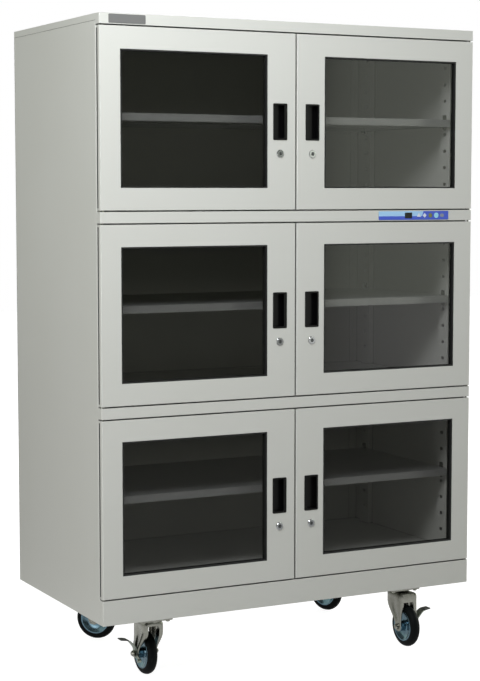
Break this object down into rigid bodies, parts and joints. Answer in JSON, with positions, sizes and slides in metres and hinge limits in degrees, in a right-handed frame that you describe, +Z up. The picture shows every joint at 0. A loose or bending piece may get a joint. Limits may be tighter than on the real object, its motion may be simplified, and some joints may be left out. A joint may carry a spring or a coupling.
{
  "type": "industrial dry cabinet",
  "caption": "Tall dry storage cabinet on swivel casters: painted steel body, smoked glass doors with recessed pulls and cam locks, steel shelves, keypad and drying unit.",
  "frame": {"origin": "on the floor, under the middle of the whole cabinet's box", "axes": "+X to the right seen from the front, +Y from the doors to the back, +Z up"},
  "size_m": [1.2, 0.669, 1.848],
  "materials": {
    "body_paint": "satin light grey stoved enamel, faint orange peel",
    "shelf_steel": "bright stainless sheet",
    "clip_metal": "dull zinc casting",
    "seal_rubber": "soft magnetic seal",
    "gasket_rubber": "black extruded rubber",
    "pin_steel": "turned steel",
    "galvanised_sheet": "galvanised sheet",
    "keypad_film": "printed polyester film",
    "inlet_plastic": "moulded black",
    "pull_plastic": "black moulded plastic, semi gloss",
    "lock_chrome": "polished",
    "smoked_glass": "smoked toughened glass, polished",
    "caster_zinc": "bright zinc plated pressed steel",
    "tyre_rubber": "smooth black rubber"
  },
  "bodies": {
    "carcass": {"side_panel_left": "body_paint", "side_panel_right": "body_paint", "back_panel": "body_paint", "top_cover": "body_paint", "floor_pan": "body_paint", "front_header": "body_paint", "mid_rails": "body_paint", "front_plinth": "body_paint", "centre_post": "body_paint", "row_decks": "body_paint", "shelf_uprights": "body_paint", "shelf_clips": "clip_metal", "shelves": "shelf_steel", "door_seals": "seal_rubber", "hinge_pins": "pin_steel", "drying_unit": "galvanised_sheet", "control_panel": "keypad_film", "power_inlet": "inlet_plastic", "caster_mounts": "body_paint", "caster_plates": "caster_zinc"},
    "door_top_left": {"door_top_left": "body_paint", "glass_top_left": "smoked_glass", "gasket_top_left": "gasket_rubber", "pull_top_left": "pull_plastic"},
    "lock_top_left": {"lock_top_left": "lock_chrome"},
    "door_top_right": {"door_top_right": "body_paint", "glass_top_right": "smoked_glass", "gasket_top_right": "gasket_rubber", "pull_top_right": "pull_plastic"},
    "lock_top_right": {"lock_top_right": "lock_chrome"},
    "door_mid_left": {"door_mid_left": "body_paint", "glass_mid_left": "smoked_glass", "gasket_mid_left": "gasket_rubber", "pull_mid_left": "pull_plastic"},
    "lock_mid_left": {"lock_mid_left": "lock_chrome"},
    "door_mid_right": {"door_mid_right": "body_paint", "glass_mid_right": "smoked_glass", "gasket_mid_right": "gasket_rubber", "pull_mid_right": "pull_plastic"},
    "lock_mid_right": {"lock_mid_right": "lock_chrome"},
    "door_low_left": {"door_low_left": "body_paint", "glass_low_left": "smoked_glass", "gasket_low_left": "gasket_rubber", "pull_low_left": "pull_plastic"},
    "lock_low_left": {"lock_low_left": "lock_chrome"},
    "door_low_right": {"door_low_right": "body_paint", "glass_low_right": "smoked_glass", "gasket_low_right": "gasket_rubber", "pull_low_right": "pull_plastic"},
    "lock_low_right": {"lock_low_right": "lock_chrome"},
    "fork_front_left": {"fork_front_left": "caster_zinc"},
    "wheel_front_left": {"wheel_front_left": "tyre_rubber"},
    "brake_lever_left": {"brake_lever_left": "caster_zinc"},
    "fork_front_right": {"fork_front_right": "caster_zinc"},
    "wheel_front_right": {"wheel_front_right": "tyre_rubber"},
    "brake_lever_right": {"brake_lever_right": "caster_zinc"},
    "fork_back_left": {"fork_back_left": "caster_zinc"},
    "wheel_back_left": {"wheel_back_left": "tyre_rubber"},
    "fork_back_right": {"fork_back_right": "caster_zinc"},
    "wheel_back_right": {"wheel_back_right": "tyre_rubber"}
  },
  "joints": [
    {"name": "door_top_left_hinge", "type": "hinge", "parent": "carcass", "child": "door_top_left", "pos_m": [-0.593, -0.3145, 1.32267], "axis": [0, 0, -1], "range_deg": [0, 120]},
    {"name": "lock_top_left_turn", "type": "hinge", "parent": "door_top_left", "child": "lock_top_left", "pos_m": [-0.052, -0.3235, 1.47983], "axis": [0, -1, 0], "range_deg": [0, 90]},
    {"name": "door_top_right_hinge", "type": "hinge", "parent": "carcass", "child": "door_top_right", "pos_m": [0.593, -0.3145, 1.32267], "axis": [0, 0, 1], "range_deg": [0, 120]},
    {"name": "lock_top_right_turn", "type": "hinge", "parent": "door_top_right", "child": "lock_top_right", "pos_m": [0.052, -0.3235, 1.47983], "axis": [0, 1, 0], "range_deg": [0, 90]},
    {"name": "door_mid_left_hinge", "type": "hinge", "parent": "carcass", "child": "door_mid_left", "pos_m": [-0.593, -0.3145, 0.79183], "axis": [0, 0, -1], "range_deg": [0, 120]},
    {"name": "lock_mid_left_turn", "type": "hinge", "parent": "door_mid_left", "child": "lock_mid_left", "pos_m": [-0.052, -0.3235, 0.949], "axis": [0, -1, 0], "range_deg": [0, 90]},
    {"name": "door_mid_right_hinge", "type": "hinge", "parent": "carcass", "child": "door_mid_right", "pos_m": [0.593, -0.3145, 0.79183], "axis": [0, 0, 1], "range_deg": [0, 120]},
    {"name": "lock_mid_right_turn", "type": "hinge", "parent": "door_mid_right", "child": "lock_mid_right", "pos_m": [0.052, -0.3235, 0.949], "axis": [0, 1, 0], "range_deg": [0, 90]},
    {"name": "door_low_left_hinge", "type": "hinge", "parent": "carcass", "child": "door_low_left", "pos_m": [-0.593, -0.3145, 0.261], "axis": [0, 0, -1], "range_deg": [0, 120]},
    {"name": "lock_low_left_turn", "type": "hinge", "parent": "door_low_left", "child": "lock_low_left", "pos_m": [-0.052, -0.3235, 0.41817], "axis": [0, -1, 0], "range_deg": [0, 90]},
    {"name": "door_low_right_hinge", "type": "hinge", "parent": "carcass", "child": "door_low_right", "pos_m": [0.593, -0.3145, 0.261], "axis": [0, 0, 1], "range_deg": [0, 120]},
    {"name": "lock_low_right_turn", "type": "hinge", "parent": "door_low_right", "child": "lock_low_right", "pos_m": [0.052, -0.3235, 0.41817], "axis": [0, 1, 0], "range_deg": [0, 90]},
    {"name": "caster_front_left_swivel", "type": "hinge", "parent": "carcass", "child": "fork_front_left", "pos_m": [-0.414, -0.2295, 0.174], "axis": [0, 0, 1], "continuous": true},
    {"name": "wheel_front_left_spin", "type": "hinge", "parent": "fork_front_left", "child": "wheel_front_left", "pos_m": [-0.414, -0.1875, 0.063], "axis": [1, 0, 0], "continuous": true},
    {"name": "brake_lever_left_press", "type": "hinge", "parent": "fork_front_left", "child": "brake_lever_left", "pos_m": [-0.414, -0.1875, 0.063], "axis": [-1, 0, 0], "range_deg": [0, 20]},
    {"name": "caster_front_right_swivel", "type": "hinge", "parent": "carcass", "child": "fork_front_right", "pos_m": [0.414, -0.2295, 0.174], "axis": [0, 0, 1], "continuous": true},
    {"name": "wheel_front_right_spin", "type": "hinge", "parent": "fork_front_right", "child": "wheel_front_right", "pos_m": [0.414, -0.2715, 0.063], "axis": [-1, 0, 0], "continuous": true},
    {"name": "brake_lever_right_press", "type": "hinge", "parent": "fork_front_right", "child": "brake_lever_right", "pos_m": [0.414, -0.2715, 0.063], "axis": [1, 0, 0], "range_deg": [0, 20]},
    {"name": "caster_back_left_swivel", "type": "hinge", "parent": "carcass", "child": "fork_back_left", "pos_m": [-0.414, 0.2735, 0.174], "axis": [0, 0, 1], "continuous": true},
    {"name": "wheel_back_left_spin", "type": "hinge", "parent": "fork_back_left", "child": "wheel_back_left", "pos_m": [-0.3843, 0.2438, 0.063], "axis": [-0.7071, -0.7071, 0], "continuous": true},
    {"name": "caster_back_right_swivel", "type": "hinge", "parent": "carcass", "child": "fork_back_right", "pos_m": [0.414, 0.2735, 0.174], "axis": [0, 0, 1], "continuous": true},
    {"name": "wheel_back_right_spin", "type": "hinge", "parent": "fork_back_right", "child": "wheel_back_right", "pos_m": [0.42836, 0.23403, 0.063], "axis": [-0.9397, -0.342, 0], "continuous": true}
  ]
}
